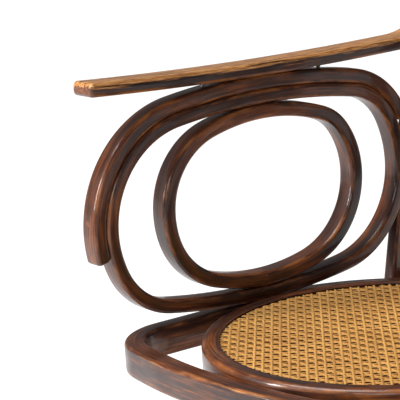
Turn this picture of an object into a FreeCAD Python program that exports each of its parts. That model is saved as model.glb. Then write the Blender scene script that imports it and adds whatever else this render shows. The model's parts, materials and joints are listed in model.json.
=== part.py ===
import FreeCAD, Part
import math
import os
import Sketcher
from FreeCAD import Placement, Rotation, Vector

# Bentwood rocking armchair with a round caned seat.
#
# Frame: millimetres, +Z up, front of the chair towards -Y, symmetric about X = 0.
# The origin is on the floor, midway between the two points where the runners touch it.
#
# Every bent piece lies in one of four flat planes: the seat plane, the tilted plane of the
# back, and the two side planes, which are upright and spread towards the front. A side plane
# has its own coordinates: along (towards the back), up (from the cane) and out (from its
# inner face). A piece is drawn as the outline of a bent bar and padded to the stock's depth.

DIMENSIONS = {
    # overall
    "seat_height": 440,
    "seat_shift": -66.5,
    "side_splay": 6.3,
    "side_spacing": 218.2,
    # bent stock
    "stock_thickness": 17.5,
    "stock_depth": 26,
    "stock_rounding": 4.5,
    # round seat frame, its cane panel and the reed that locks the cane
    "seat_radius": 210,
    "seat_opening_radius": 168,
    "seat_frame_height": 36,
    "seat_rim_rise": 1.5,
    "seat_rim_rounding": 6,
    "cane_radius": 194,
    "cane_thickness": 2.5,
    "reed_width": 3.2,
    "reed_rise": 1,
    # hoop round the seat frame
    "hoop_side": 232.5,
    "hoop_front": 222.4,
    "hoop_front_radius": 700,
    "hoop_front_corner": 68,
    "hoop_back": 222.6,
    "hoop_back_radius": 240,
    "hoop_back_corner": 205,
    "hoop_width": 24,
    "hoop_height": 35,
    "hoop_drop": 5,
    "spacer_length": 50,
    "spacer_width": 38,
    "spacer_height": 28,
    # large oval of each arm, measured inside
    "large_thickness": 16.5,
    "large_along": 26,
    "large_half_length": 204.5,
    "large_half_height": 107,
    "large_long_radius": 785,
    "large_end_radius": 131,
    "large_back_top": 70,
    "large_front_top": 106,
    "large_front_bottom": 74,
    "large_back_bottom": 100,
    # small oval of each arm, measured inside
    "small_along": 30,
    "small_half_length": 130,
    "small_long_radius": 252,
    "small_end_radius": 95,
    "small_back_top": 50,
    "small_front_top": 82,
    "small_front_bottom": 76,
    "small_back_bottom": 88,
    # outer band of each arm
    "band_thickness": 17.3,
    "band_front_up": 84,
    "band_back_up": 172,
    # arm rest
    "rest_front": -206,
    "rest_low": 125,
    "rest_turn": 245,
    "rest_radius": 5200,
    "rest_turn_radius": 110,
    "rest_turn_angle": 33,
    "rest_width": 38,
    "rest_thickness": 16,
    "rest_housing": 1.2,
    # back
    "back_front": 217.5,
    "back_tilt": 11.5,
    "bow_half_width": 193.5,
    "bow_top": 520,
    "bow_top_radius": 430,
    "bow_corner": 135,
    "bow_foot": 48,
    "rail_front": 226,
    "rail_thickness": 24,
    "rail_height": 22,
    "rail_drop": 17,
    "rail_housing": 9,
    "back_large_half_height": 205,
    "back_large_side_radius": 620,
    "back_large_end_radius": 230,
    "back_large_corner": 140,
    "back_small_half_width": 104,
    "back_small_side_radius": 420,
    "back_small_end_radius": 120,
    "back_small_corner": 70,
    # base
    "runner_radius": 1050,
    "runner_half_length": 440,
    "runner_thickness": 30,
    "leg_thickness": 25,
    "leg_radius": 900,
    "leg_top_angle": 13,
    "front_leg_along": -40,
    "back_leg_along": 72,
    "tenon_radius": 8,
    "tenon_length": 22,
    "stretcher_radius": 10,
    "stretcher_drop": 225,
    "stretcher_tenon": 14,
    # fasteners
    "screw_radius": 2.5,
    "screw_head_radius": 4.5,
    "screw_head_height": 3,
    "plug_radius": 4.5,
    "plug_thickness": 4,
    "bolt_radius": 3,
    "bolt_head_radius": 8,
    "bolt_head_height": 3.5,
}

LEFT = -1
RIGHT = 1
SIDE_NAMES = {LEFT: "left", RIGHT: "right"}

document = FreeCAD.newDocument("rocking_chair")


def make_sheet():
    """Put every driving dimension in the spreadsheet, one named cell each."""
    sheet = document.addObject("Spreadsheet::Sheet", "Sheet")
    for row, (name, value) in enumerate(DIMENSIONS.items(), start=1):
        sheet.set(f"A{row}", name)
        sheet.set(f"B{row}", str(value))
        sheet.setAlias(f"B{row}", name)
    document.recompute()
    return sheet


sheet = make_sheet()


def dim(name):
    return float(sheet.get(name))


# ---------------------------------------------------------------- outlines of bent bars


class Arc:
    """An arc walked from start to end, in radians; cell names its radius in the sheet."""

    def __init__(self, centre, radius, start, end, cell=None):
        self.centre = centre
        self.radius = radius
        self.start = start
        self.end = end
        self.cell = cell

    def turns_left(self):
        return self.end > self.start

    def backwards(self):
        return Arc(self.centre, self.radius, self.end, self.start, self.cell)

    def moved_out(self, distance):
        """The same arc, moved to the right-hand side of its walk."""
        radius = self.radius + (distance if self.turns_left() else -distance)
        return Arc(self.centre, radius, self.start, self.end, self.cell)

    def point(self, angle):
        return self.centre + Vector(math.cos(angle), math.sin(angle)) * self.radius

    def entry(self):
        return self.point(self.start)

    def exit(self):
        return self.point(self.end)

    def geometry(self):
        circle = Part.Circle(self.centre, Vector(0, 0, 1), self.radius)
        return Part.ArcOfCircle(circle, min(self.start, self.end), max(self.start, self.end))

    def ends(self):
        return (1, 2) if self.turns_left() else (2, 1)


class Line:
    def __init__(self, start, end):
        self.start = start
        self.end = end
        self.cell = None

    def backwards(self):
        return Line(self.end, self.start)

    def moved_out(self, distance):
        run = (self.end - self.start).normalize()
        side = Vector(run.y, -run.x) * distance
        return Line(self.start + side, self.end + side)

    def entry(self):
        return self.start

    def exit(self):
        return self.end

    def geometry(self):
        return Part.LineSegment(self.start, self.end)

    def ends(self):
        return (1, 2)


def angle_to(centre, point, after=None):
    """The direction of point from centre, the first one past the angle after."""
    angle = math.atan2(point.y - centre.y, point.x - centre.x)
    while after is not None and angle < after:
        angle += 2 * math.pi
    return angle


def circle_touching(first, first_radius, second, second_radius, towards):
    """Centre at the two distances from first and second, on the side that towards points to."""
    apart = second - first
    span = apart.Length
    along = apart * (1 / span)
    reach = (first_radius ** 2 - second_radius ** 2 + span ** 2) / (2 * span)
    rise = math.sqrt(first_radius ** 2 - reach ** 2)
    across = Vector(-along.y, along.x)
    if across.dot(towards) < 0:
        across = across * -1
    return first + along * reach + across * rise


def oval(half_length, half_height, long_cell, end_cell, corner_cells):
    """Eight tangent arcs: two long sides, two ends and four corners, walked to the left.

    corner_cells go back top, front top, front bottom, back bottom."""
    long_radius = dim(long_cell)
    end_radius = dim(end_cell)
    mains = (
        (Vector(half_length - end_radius, 0), end_radius, end_cell, 0),
        (Vector(0, half_height - long_radius), long_radius, long_cell, math.pi / 2),
        (Vector(end_radius - half_length, 0), end_radius, end_cell, math.pi),
        (Vector(0, long_radius - half_height), long_radius, long_cell, 1.5 * math.pi),
    )
    corners = []
    for index, cell in enumerate(corner_cells):
        first, first_radius = mains[index][:2]
        second, second_radius = mains[(index + 1) % 4][:2]
        radius = dim(cell)
        middle = math.pi / 4 + index * math.pi / 2
        towards = Vector(math.cos(middle), math.sin(middle))
        centre = circle_touching(first, first_radius - radius, second, second_radius - radius, towards)
        corners.append((centre, radius, cell))
    path = []
    for index, (centre, radius, cell, middle) in enumerate(mains):
        start = angle_to(centre, corners[index - 1][0], middle - math.pi / 2)
        end = angle_to(centre, corners[index][0], middle)
        path.append(Arc(centre, radius, start, end, cell))
        corner_centre, corner_radius, corner_cell = corners[index]
        following = mains[(index + 1) % 4][0]
        corner_end = angle_to(following, corner_centre, end)
        path.append(Arc(corner_centre, corner_radius, end, corner_end, corner_cell))
    return path


def bar_outline(path, inner, outer):
    """A bar's closed outline: the path moved out, a square end, the path moved in, an end."""
    outside = [piece.moved_out(outer) for piece in path]
    inside = [piece.moved_out(inner).backwards() for piece in reversed(path)]
    first_end = Line(outside[-1].exit(), inside[0].entry())
    last_end = Line(inside[-1].exit(), outside[0].entry())
    return outside + [first_end] + inside + [last_end]


def add_outline(sketch, pieces, growth=""):
    """Draw a closed outline, join its pieces and bind each arc's radius to its cell."""
    numbers = [sketch.addGeometry(piece.geometry(), False) for piece in pieces]
    for index, piece in enumerate(pieces):
        following = pieces[(index + 1) % len(pieces)]
        kind = "Tangent" if smooth_joint(piece, following) else "Coincident"
        following_number = numbers[(index + 1) % len(pieces)]
        joint = (numbers[index], piece.ends()[1], following_number, following.ends()[0])
        sketch.addConstraint(Sketcher.Constraint(kind, *joint))
    for number, piece in zip(numbers, pieces):
        if piece.cell:
            bind_radius(sketch, number, piece, growth)


def smooth_joint(piece, following):
    return direction(piece, at_exit=True).dot(direction(following, at_exit=False)) > 0.999999


def direction(piece, at_exit):
    if isinstance(piece, Line):
        return (piece.end - piece.start).normalize()
    angle = piece.end if at_exit else piece.start
    sense = 1 if piece.turns_left() else -1
    return Vector(-math.sin(angle), math.cos(angle)) * sense


def bind_radius(sketch, number, piece, growth):
    """growth is a sum of cells, such as "+ Sheet.stock_thickness", on arcs that have one."""
    index = sketch.addConstraint(Sketcher.Constraint("Radius", number, piece.radius))
    base = f"Sheet.{piece.cell} * 1mm"
    grown = base + growth
    if abs(piece.radius - dim(piece.cell)) < 1e-6:
        grown = base
    sketch.setExpression(f"Constraints[{index}]", grown)


# ------------------------------------------------------------------- bodies and features


def origin_plane(body, role):
    for feature in body.Origin.OriginFeatures:
        if feature.Role == role:
            return feature
    raise ValueError(role)


def new_body(name):
    return document.addObject("PartDesign::Body", name + "_body")


def new_sketch(body, role, name):
    sketch = body.newObject("Sketcher::SketchObject", name)
    sketch.AttachmentSupport = (origin_plane(body, role), [""])
    sketch.MapMode = "FlatFace"
    return sketch


def pad(body, sketch, length):
    feature = body.newObject("PartDesign::Pad", body.Name + "_pad")
    feature.Profile = sketch
    feature.setExpression("Length", length)
    sketch.Visibility = False
    document.recompute()
    return feature


def round_long_edges(body, feature, radius, shortest):
    """Round the edges of the bar's two flat faces, less any shorter than a length."""
    names = []
    for number, edge in enumerate(feature.Shape.Edges, start=1):
        if edge.BoundBox.ZLength < 1e-6 and edge.Length > shortest:
            names.append(f"Edge{number}")
    fillet = body.newObject("PartDesign::Fillet", body.Name + "_rounding")
    fillet.Base = (feature, names)
    fillet.setExpression("Radius", radius)
    document.recompute()


def bent_bar(name, outlines, placement, depth="Sheet.stock_depth * 1mm", shortest=0):
    """A body padded from one closed outline, or from an outer and an inner one.

    outlines are pairs: the pieces, and the growth of their arcs beyond the sheet's radii."""
    body = new_body(name)
    sketch = new_sketch(body, "XY_Plane", name + "_outline")
    for pieces, growth in outlines:
        add_outline(sketch, pieces, growth)
    feature = pad(body, sketch, depth)
    round_long_edges(body, feature, "Sheet.stock_rounding * 1mm", shortest)
    body.Placement = placement
    return body


def ring_outlines(path, thickness, growth):
    outside = [piece.moved_out(thickness) for piece in path]
    return [(outside, growth), (path, "")]


# ----------------------------------------------------------------------- planes and places


def splay():
    return math.radians(dim("side_splay"))


def seat_place(x, y, z):
    """A point given from the middle of the cane's top."""
    return Vector(x, y + dim("seat_shift"), z + dim("seat_height"))


def side_place(side, along, up, out):
    """A point given in a side plane: along to the back, up from the cane, out from the sitter."""
    across = dim("side_spacing") - along * math.sin(splay()) + out * math.cos(splay())
    back = along * math.cos(splay()) + out * math.sin(splay())
    return seat_place(side * across, back, up)


def side_axes(side):
    along = Vector(-side * math.sin(splay()), math.cos(splay()), 0)
    up = Vector(0, 0, 1)
    return along, up, along.cross(up)


def side_placement(side, along, up, inset=0.0, depth=None):
    """Sketch X runs along, sketch Y runs up, and the pad fills from inset outwards."""
    depth = dim("stock_depth") if depth is None else depth
    start = inset if side == RIGHT else inset + depth
    return Placement(side_place(side, along, up, start), Rotation(*side_axes(side), "XYZ"))


def back_axes():
    tilt = math.radians(dim("back_tilt"))
    across = Vector(1, 0, 0)
    up = Vector(0, math.sin(tilt), math.cos(tilt))
    return across, up, across.cross(up)


def back_place(across, up, forward):
    """A point in the back's tilted plane, forward of its front face."""
    x_axis, y_axis, z_axis = back_axes()
    foot = seat_place(0, dim("back_front"), 0)
    return foot + x_axis * across + y_axis * up + z_axis * forward


def back_placement(up):
    return Placement(back_place(0, up, -dim("stock_depth")), Rotation(*back_axes(), "XYZ"))


def large_up():
    """Height of the middle of the arm's ovals above the cane."""
    return dim("large_half_height") + dim("large_thickness") - dim("hoop_drop")


def rest_bottom():
    """Height of the arm rest's underside, let a little way down over the band."""
    band_top = large_up() + dim("large_half_height") + dim("large_thickness") + dim("band_thickness")
    return band_top - dim("rest_housing")


def runner_along():
    """Where along the side plane the runner touches the floor."""
    return (-dim("seat_shift") - dim("stock_depth") / 2 * math.sin(splay())) / math.cos(splay())


# ------------------------------------------------------------------------------- fasteners


def cylinder(name, radius_cell, height, start, axis):
    """A cylinder of the sheet's radius, from start along axis."""
    piece = document.addObject("Part::Cylinder", name)
    piece.setExpression("Radius", f"Sheet.{radius_cell} * 1mm")
    piece.Height = height
    piece.Placement = Placement(start, Rotation(Vector(0, 0, 1), axis))
    return piece


def screw(name, surface, axis, length, sunk=0.0, kind="screw"):
    """A headed screw driven along axis; its head starts sunk below the surface point."""
    axis = Vector(axis).normalize()
    head_start = surface + axis * sunk
    head = cylinder(name + "_head", kind + "_head_radius", dim(kind + "_head_height"), head_start, axis)
    shank_start = head_start + axis * dim(kind + "_head_height")
    shank_length = length - dim(kind + "_head_height")
    shank = cylinder(name + "_shank", kind + "_radius", shank_length, shank_start, axis)
    whole = document.addObject("Part::Fuse", name)
    whole.Base = head
    whole.Tool = shank
    return whole


def plug(name, surface, axis):
    """A wooden plug that fills the hole over a sunk screw, flush with the surface."""
    axis = Vector(axis).normalize()
    return cylinder(name, "plug_radius", dim("plug_thickness"), surface, axis)


def group(label, pieces):
    """Identical pieces that share one node, as separate solids."""
    together = document.addObject("Part::Compound", label + "_group")
    together.Links = pieces
    together.Label = label
    document.recompute()
    return together


def cut(base, tools, name):
    result = document.addObject("Part::Cut", name + "_drilled")
    result.Base = base
    result.Tool = group(name + "_holes", tools)
    document.recompute()
    return result


def drill(base, tools, label):
    """The named node: base with the holes of its fasteners, tenons and neighbours."""
    result = cut(base, tools, label) if tools else base
    result.Label = label
    return result


# ------------------------------------------------------------------------------------ seat


def seat_frame():
    """Round wooden frame with a rounded rim and a ledge that carries the cane."""
    body = new_body("seat_frame")
    sketch = new_sketch(body, "XZ_Plane", "seat_frame_section")
    outer = dim("seat_radius")
    inner = dim("seat_opening_radius")
    ledge = dim("cane_radius")
    top = dim("seat_rim_rise")
    ledge_up = -dim("cane_thickness")
    bottom = top - dim("seat_frame_height")
    corners = [
        Vector(inner, bottom), Vector(outer, bottom), Vector(outer, top),
        Vector(ledge, top), Vector(ledge, ledge_up), Vector(inner, ledge_up),
    ]
    numbers = []
    for index, corner in enumerate(corners):
        following = corners[(index + 1) % len(corners)]
        numbers.append(sketch.addGeometry(Part.LineSegment(corner, following), False))
    for index, number in enumerate(numbers):
        joint = (number, 2, numbers[(index + 1) % len(numbers)], 1)
        sketch.addConstraint(Sketcher.Constraint("Coincident", *joint))
        kind = "Horizontal" if index % 2 == 0 else "Vertical"
        sketch.addConstraint(Sketcher.Constraint(kind, number))
    bind_distance(sketch, "DistanceX", numbers[1], 1, outer, "Sheet.seat_radius * 1mm")
    bind_distance(sketch, "DistanceX", numbers[0], 1, inner, "Sheet.seat_opening_radius * 1mm")
    bind_distance(sketch, "DistanceX", numbers[3], 2, ledge, "Sheet.cane_radius * 1mm")
    bind_distance(sketch, "DistanceY", numbers[2], 1, top, "Sheet.seat_rim_rise * 1mm")
    revolution = body.newObject("PartDesign::Revolution", "seat_frame_turned")
    revolution.Profile = sketch
    revolution.ReferenceAxis = (sketch, ["V_Axis"])
    revolution.Angle = 360
    document.recompute()
    names = []
    for number, edge in enumerate(revolution.Shape.Edges, start=1):
        if on_outer_rim(edge):
            names.append(f"Edge{number}")
    fillet = body.newObject("PartDesign::Fillet", "seat_frame_rounding")
    fillet.Base = (revolution, names)
    fillet.setExpression("Radius", "Sheet.seat_rim_rounding * 1mm")
    document.recompute()
    body.Placement = Placement(seat_place(0, 0, 0), Rotation())
    return body


def on_outer_rim(edge):
    box = edge.BoundBox
    return box.ZLength < 1e-6 and abs(box.XMax - dim("seat_radius")) < 1e-3


def bind_distance(sketch, kind, number, end, value, expression):
    index = sketch.addConstraint(Sketcher.Constraint(kind, -1, 1, number, end, value))
    sketch.setExpression(f"Constraints[{index}]", expression)


def round_plate(name, outer, inner, thickness, height):
    """A disc, or a flat ring where inner isn't empty, lying at a height above the cane."""
    body = new_body(name)
    sketch = new_sketch(body, "XY_Plane", name + "_outline")
    for cell in (outer, inner):
        if cell:
            value, expression = cell
            circle = Part.Circle(Vector(), Vector(0, 0, 1), value)
            number = sketch.addGeometry(circle, False)
            sketch.addConstraint(Sketcher.Constraint("Coincident", number, 3, -1, 1))
            index = sketch.addConstraint(Sketcher.Constraint("Radius", number, value))
            sketch.setExpression(f"Constraints[{index}]", expression)
    pad(body, sketch, thickness)
    body.Placement = Placement(seat_place(0, 0, height), Rotation())
    body.Label = name
    return body


def cane_pieces():
    """The cane panel on the frame's ledge, and the reed round it that stands a little proud."""
    radius = dim("cane_radius")
    width = dim("reed_width")
    outer_edge = (radius, "Sheet.cane_radius * 1mm")
    inner_edge = (radius - width, "(Sheet.cane_radius - Sheet.reed_width) * 1mm")
    panel_depth = "Sheet.cane_thickness * 1mm"
    reed_depth = "(Sheet.cane_thickness + Sheet.reed_rise) * 1mm"
    bottom = -dim("cane_thickness")
    panel = round_plate("cane_panel", inner_edge, None, panel_depth, bottom)
    reed = round_plate("cane_reed", outer_edge, inner_edge, reed_depth, bottom)
    return [panel, reed]


def hoop_corner(far_centre, far_radius, corner, towards):
    """The circle that touches the hoop's end arc and its straight side on the right."""
    outward = Vector(math.cos(splay()), math.sin(splay()))
    run = Vector(-outward.y, outward.x) * towards
    base = outward * (dim("hoop_side") * math.cos(splay()) - corner)
    gap = base - far_centre
    half = gap.dot(run)
    reach = -half + math.sqrt(half ** 2 - gap.dot(gap) + (far_radius - corner) ** 2)
    return base + run * reach


def mirrored(point):
    return Vector(-point.x, point.y)


def hoop_path():
    """Middle line of the hoop: bowed front and back, straight sides that spread forwards."""
    front_radius = dim("hoop_front_radius")
    back_radius = dim("hoop_back_radius")
    front_corner = dim("hoop_front_corner")
    back_corner = dim("hoop_back_corner")
    front = Vector(0, front_radius - dim("hoop_front"))
    back = Vector(0, dim("hoop_back") - back_radius)
    front_right = hoop_corner(front, front_radius, front_corner, -1)
    back_right = hoop_corner(back, back_radius, back_corner, 1)
    normal = splay()
    outward = Vector(math.cos(normal), math.sin(normal))
    front_turn = angle_to(front, front_right)
    back_turn = angle_to(back, back_right)
    side = Line(front_right + outward * front_corner, back_right + outward * back_corner)
    return [
        Arc(front, front_radius, -math.pi - front_turn, front_turn, "hoop_front_radius"),
        Arc(front_right, front_corner, front_turn, normal, "hoop_front_corner"),
        side,
        Arc(back_right, back_corner, normal, back_turn, "hoop_back_corner"),
        Arc(back, back_radius, back_turn, math.pi - back_turn, "hoop_back_radius"),
        Arc(mirrored(back_right), back_corner, math.pi - back_turn, math.pi - normal, "hoop_back_corner"),
        Line(mirrored(side.end), mirrored(side.start)),
        Arc(mirrored(front_right), front_corner, math.pi - normal, math.pi - front_turn, "hoop_front_corner"),
    ]


def seat_hoop():
    half = dim("hoop_width") / 2
    path = hoop_path()
    outside = [piece.moved_out(half) for piece in path]
    inside = [piece.moved_out(-half) for piece in path]
    outlines = [(outside, "+ Sheet.hoop_width * 0.5mm"), (inside, "- Sheet.hoop_width * 0.5mm")]
    bottom = -dim("hoop_drop") - dim("hoop_height")
    placement = Placement(seat_place(0, 0, bottom), Rotation())
    return bent_bar("seat_hoop", outlines, placement, "Sheet.hoop_height * 1mm")


def seat_directions():
    """Level directions from the middle of the seat to its four fixings."""
    outward = Vector(math.cos(splay()), math.sin(splay()))
    return {
        "front": Vector(0, -1),
        "back": Vector(0, 1),
        "left": mirrored(outward),
        "right": outward,
    }


def hoop_spacer(name, frame, hoop):
    """Block that fills the gap between the round frame and the hoop, shaped to both."""
    outward = seat_directions()[name]
    box = document.addObject("Part::Box", f"spacer_{name}_blank")
    box.setExpression("Length", "Sheet.spacer_length * 1mm")
    box.setExpression("Width", "Sheet.spacer_width * 1mm")
    box.setExpression("Height", "Sheet.spacer_height * 1mm")
    turn = Rotation(Vector(-outward.y, outward.x), outward * -1, Vector(0, 0, 1), "ZXY")
    lift = (dim("hoop_height") - dim("spacer_height")) / 2
    middle = seat_place(0, 0, lift - dim("hoop_drop") - dim("hoop_height")) + outward * dim("seat_radius")
    half = turn.multVec(Vector(dim("spacer_length") / 2, dim("spacer_width") / 2))
    box.Placement = Placement(middle - half, turn)
    fitted = cut(box, [frame, hoop], f"spacer_{name}_fit")
    return fitted


# ------------------------------------------------------------------------------------ arms


def large_oval():
    corners = ("large_back_top", "large_front_top", "large_front_bottom", "large_back_bottom")
    return oval(dim("large_half_length"), dim("large_half_height"), "large_long_radius",
                "large_end_radius", corners)


def small_half_height():
    """Half the small oval's height, which makes its outside just touch the large oval."""
    apart = dim("large_long_radius") - dim("small_long_radius") - dim("stock_thickness")
    offset = dim("small_along") - dim("large_along")
    gap = apart - math.sqrt(apart ** 2 - offset ** 2)
    return dim("large_half_height") - dim("stock_thickness") - gap


def small_oval():
    corners = ("small_back_top", "small_front_top", "small_front_bottom", "small_back_bottom")
    return oval(dim("small_half_length"), small_half_height(), "small_long_radius",
                "small_end_radius", corners)


def arm_large_oval(side):
    outlines = ring_outlines(large_oval(), dim("large_thickness"), "+ Sheet.large_thickness * 1mm")
    placement = side_placement(side, dim("large_along"), large_up())
    return bent_bar(f"arm_large_oval_{SIDE_NAMES[side]}", outlines, placement)


def arm_small_oval(side):
    outlines = ring_outlines(small_oval(), dim("stock_thickness"), "+ Sheet.stock_thickness * 1mm")
    placement = side_placement(side, dim("small_along"), large_up())
    return bent_bar(f"arm_small_oval_{SIDE_NAMES[side]}", outlines, placement)


def angle_at_height(arc, height):
    """The angle at which an arc passes a height, or None where it doesn't reach it."""
    lift = (height - arc.centre.y) / arc.radius
    if abs(lift) > 1:
        return None
    turn = math.asin(lift)
    for angle in (turn, math.pi - turn, 2 * math.pi + turn):
        if arc.start <= angle <= arc.end:
            return angle
    return None


def band_path():
    """Round the large oval, from high on its back over the top to low on its front."""
    whole = [piece.moved_out(dim("large_thickness")) for piece in large_oval()]
    back_end, back_top, top, front_top, front_end, front_bottom = whole[:6]
    first_height = dim("band_back_up") - large_up()
    last_height = dim("band_front_up") - large_up()
    path = [top]
    for arc in (back_top, back_end):
        start = angle_at_height(arc, first_height)
        if start is not None:
            path.insert(0, Arc(arc.centre, arc.radius, start, arc.end))
            break
        path.insert(0, arc)
    for arc in (front_top, front_end, front_bottom):
        finish = angle_at_height(arc, last_height)
        if finish is not None:
            path.append(Arc(arc.centre, arc.radius, arc.start, finish))
            break
        path.append(arc)
    return path


def arm_band(side):
    """Open band round the large oval."""
    outline = bar_outline(band_path(), 0.0, dim("band_thickness"))
    placement = side_placement(side, dim("large_along"), large_up())
    return bent_bar(f"arm_band_{SIDE_NAMES[side]}", [(unbound(outline), "")], placement)


def unbound(outline):
    """The outline with its radii left as drawn, where they aren't cells of the sheet."""
    for piece in outline:
        piece.cell = None
    return outline


def rest_path():
    """Underside of the arm rest: a long shallow arc, then a bend up against the back."""
    radius = dim("rest_radius")
    turn_radius = dim("rest_turn_radius")
    centre = Vector(dim("rest_low"), rest_bottom() + radius)
    start = -math.pi / 2 - math.asin((dim("rest_low") - dim("rest_front")) / radius)
    turn = -math.pi / 2 + math.asin((dim("rest_turn") - dim("rest_low")) / radius)
    turn_centre = centre + Vector(math.cos(turn), math.sin(turn)) * (radius - turn_radius)
    finish = turn + math.radians(dim("rest_turn_angle"))
    return [
        Arc(centre, radius, start, turn, "rest_radius"),
        Arc(turn_centre, turn_radius, turn, finish, "rest_turn_radius"),
    ]


def arm_rest(side):
    outline = bar_outline(rest_path(), -dim("rest_thickness"), 0.0)
    overhang = (dim("rest_width") - dim("stock_depth")) / 2
    placement = side_placement(side, 0, 0, -overhang, dim("rest_width"))
    growth = "- Sheet.rest_thickness * 1mm"
    return bent_bar(f"arm_rest_{SIDE_NAMES[side]}", [(outline, growth)], placement,
                    "Sheet.rest_width * 1mm")


def rest_notch(side):
    """The room beside the post, where the back's large oval passes the end of the arm rest."""
    box = document.addObject("Part::Box", f"rest_notch_{SIDE_NAMES[side]}")
    width = 40.0
    depth = 60.0
    box.Length = width
    box.Width = 200
    box.Height = depth
    inner = dim("bow_half_width") - width if side == RIGHT else -dim("bow_half_width")
    box.Placement = Placement(back_place(inner, 180, -depth), Rotation(*back_axes(), "XYZ"))
    return box


# ------------------------------------------------------------------------------------ back


def bow_path():
    """Inside of the back bow: up the right post, over the top and down the left post."""
    half = dim("bow_half_width")
    top_radius = dim("bow_top_radius")
    corner = dim("bow_corner")
    top = Vector(0, dim("bow_top") - top_radius)
    side_reach = half - corner
    rise = math.sqrt((top_radius - corner) ** 2 - side_reach ** 2)
    right = top + Vector(side_reach, rise)
    turn = angle_to(top, right)
    foot = -dim("bow_foot")
    return [
        Line(Vector(half, foot), Vector(half, right.y)),
        Arc(right, corner, 0, turn, "bow_corner"),
        Arc(top, top_radius, turn, math.pi - turn, "bow_top_radius"),
        Arc(mirrored(right), corner, math.pi - turn, math.pi, "bow_corner"),
        Line(Vector(-half, right.y), Vector(-half, foot)),
    ]


def back_bow():
    outline = bar_outline(bow_path(), 0.0, dim("stock_thickness"))
    return bent_bar("back_bow", [(outline, "+ Sheet.stock_thickness * 1mm")], back_placement(0))


def back_rail():
    """Straight rail behind the hoop, with its ends housed in the posts."""
    half = dim("bow_half_width") + dim("rail_housing")
    front = dim("rail_front")
    back = front + dim("rail_thickness")
    corners = [Vector(-half, front), Vector(half, front), Vector(half, back), Vector(-half, back)]
    outline = [Line(corner, corners[(index + 1) % 4]) for index, corner in enumerate(corners)]
    placement = Placement(seat_place(0, 0, -dim("rail_drop") - dim("rail_height")), Rotation())
    return bent_bar("back_rail", [(outline, "")], placement, "Sheet.rail_height * 1mm", shortest=40)


def back_oval_up():
    """Height up the back's plane of the middle of its two ovals."""
    return dim("bow_top") - dim("stock_thickness") - dim("back_large_half_height")


def back_large_oval():
    half_width = dim("bow_half_width") - dim("stock_thickness")
    corners = ["back_large_corner"] * 4
    path = oval(half_width, dim("back_large_half_height"), "back_large_end_radius",
                "back_large_side_radius", corners)
    outlines = ring_outlines(path, dim("stock_thickness"), "+ Sheet.stock_thickness * 1mm")
    return bent_bar("back_large_oval", outlines, back_placement(back_oval_up()))


def back_small_oval():
    half_height = dim("back_large_half_height") - dim("stock_thickness")
    corners = ["back_small_corner"] * 4
    path = oval(dim("back_small_half_width"), half_height, "back_small_end_radius",
                "back_small_side_radius", corners)
    outlines = ring_outlines(path, dim("stock_thickness"), "+ Sheet.stock_thickness * 1mm")
    return bent_bar("back_small_oval", outlines, back_placement(back_oval_up()))


# ------------------------------------------------------------------------------------ base


def runner_centre():
    return Vector(runner_along(), dim("runner_radius") - dim("seat_height"))


def runner(side):
    """Long shallow arc that rocks on the floor, with rounded tips."""
    centre = runner_centre()
    outer = dim("runner_radius")
    tip = dim("runner_thickness") / 2
    reach = math.asin(dim("runner_half_length") / outer)
    front = -math.pi / 2 - reach
    back = -math.pi / 2 + reach
    front_tip = centre + Vector(math.cos(front), math.sin(front)) * (outer - tip)
    back_tip = centre + Vector(math.cos(back), math.sin(back)) * (outer - tip)
    outline = [
        Arc(centre, outer, front, back, "runner_radius"),
        Arc(back_tip, tip, back, back + math.pi),
        Arc(centre, outer - 2 * tip, back, front, "runner_radius"),
        Arc(front_tip, tip, front + math.pi, front + 2 * math.pi),
    ]
    growth = "- Sheet.runner_thickness * 1mm"
    return bent_bar(f"runner_{SIDE_NAMES[side]}", [(outline, growth)], side_placement(side, 0, 0))


def leg_centre(top_along, forward):
    """Centre of a leg's bend, far out in front or behind, so the leg spreads towards its foot."""
    lean = math.radians(dim("leg_top_angle"))
    sense = -1 if forward else 1
    top_up = -dim("hoop_drop") - dim("hoop_height")
    reach = dim("leg_radius") * math.cos(lean)
    return Vector(top_along + sense * reach, top_up + dim("leg_radius") * math.sin(lean))


def leg_angle(centre, radius, up, forward):
    """Where on its bend a leg's face is at a height."""
    turn = math.asin((up - centre.y) / radius)
    return turn if forward else math.pi - turn


def leg_outline(top_along, forward):
    """Two curved faces, a foot shaped to the runner's top and a level top under the hoop."""
    centre = leg_centre(top_along, forward)
    runner_top = dim("runner_radius") - dim("runner_thickness")
    faces = []
    for radius in (dim("leg_radius") + dim("leg_thickness") / 2, dim("leg_radius") - dim("leg_thickness") / 2):
        foot = circle_touching(centre, radius, runner_centre(), runner_top, Vector(0, -1))
        top = leg_angle(centre, radius, -dim("hoop_drop") - dim("hoop_height"), forward)
        bottom = leg_angle(centre, radius, foot.y, forward)
        faces.append(Arc(centre, radius, top, bottom))
    far, near = faces
    foot_start = angle_to(runner_centre(), far.exit())
    foot_end = angle_to(runner_centre(), near.exit())
    foot_arc = Arc(runner_centre(), runner_top, foot_start, foot_end)
    return [far, foot_arc, near.backwards(), Line(near.entry(), far.entry())]


def leg_tenon(side, along, name):
    """Round tenon on the top of a leg, which sits in a bore in the hoop's underside."""
    start = side_place(side, along, -dim("hoop_drop") - dim("hoop_height"), dim("stock_depth") / 2)
    return cylinder(name, "tenon_radius", dim("tenon_length"), start, Vector(0, 0, 1))


def leg(side, name, along, forward):
    """A curved leg between the hoop and the runner, and its tenon."""
    full_name = f"{name}_{SIDE_NAMES[side]}"
    outline = leg_outline(along, forward)
    bar = bent_bar(full_name, [(outline, "")], side_placement(side, 0, 0), shortest=40)
    tenon = leg_tenon(side, along, full_name + "_tenon")
    fuse = document.addObject("Part::Fuse", full_name + "_whole")
    fuse.Base = bar
    fuse.Tool = tenon
    document.recompute()
    return fuse, tenon


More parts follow.
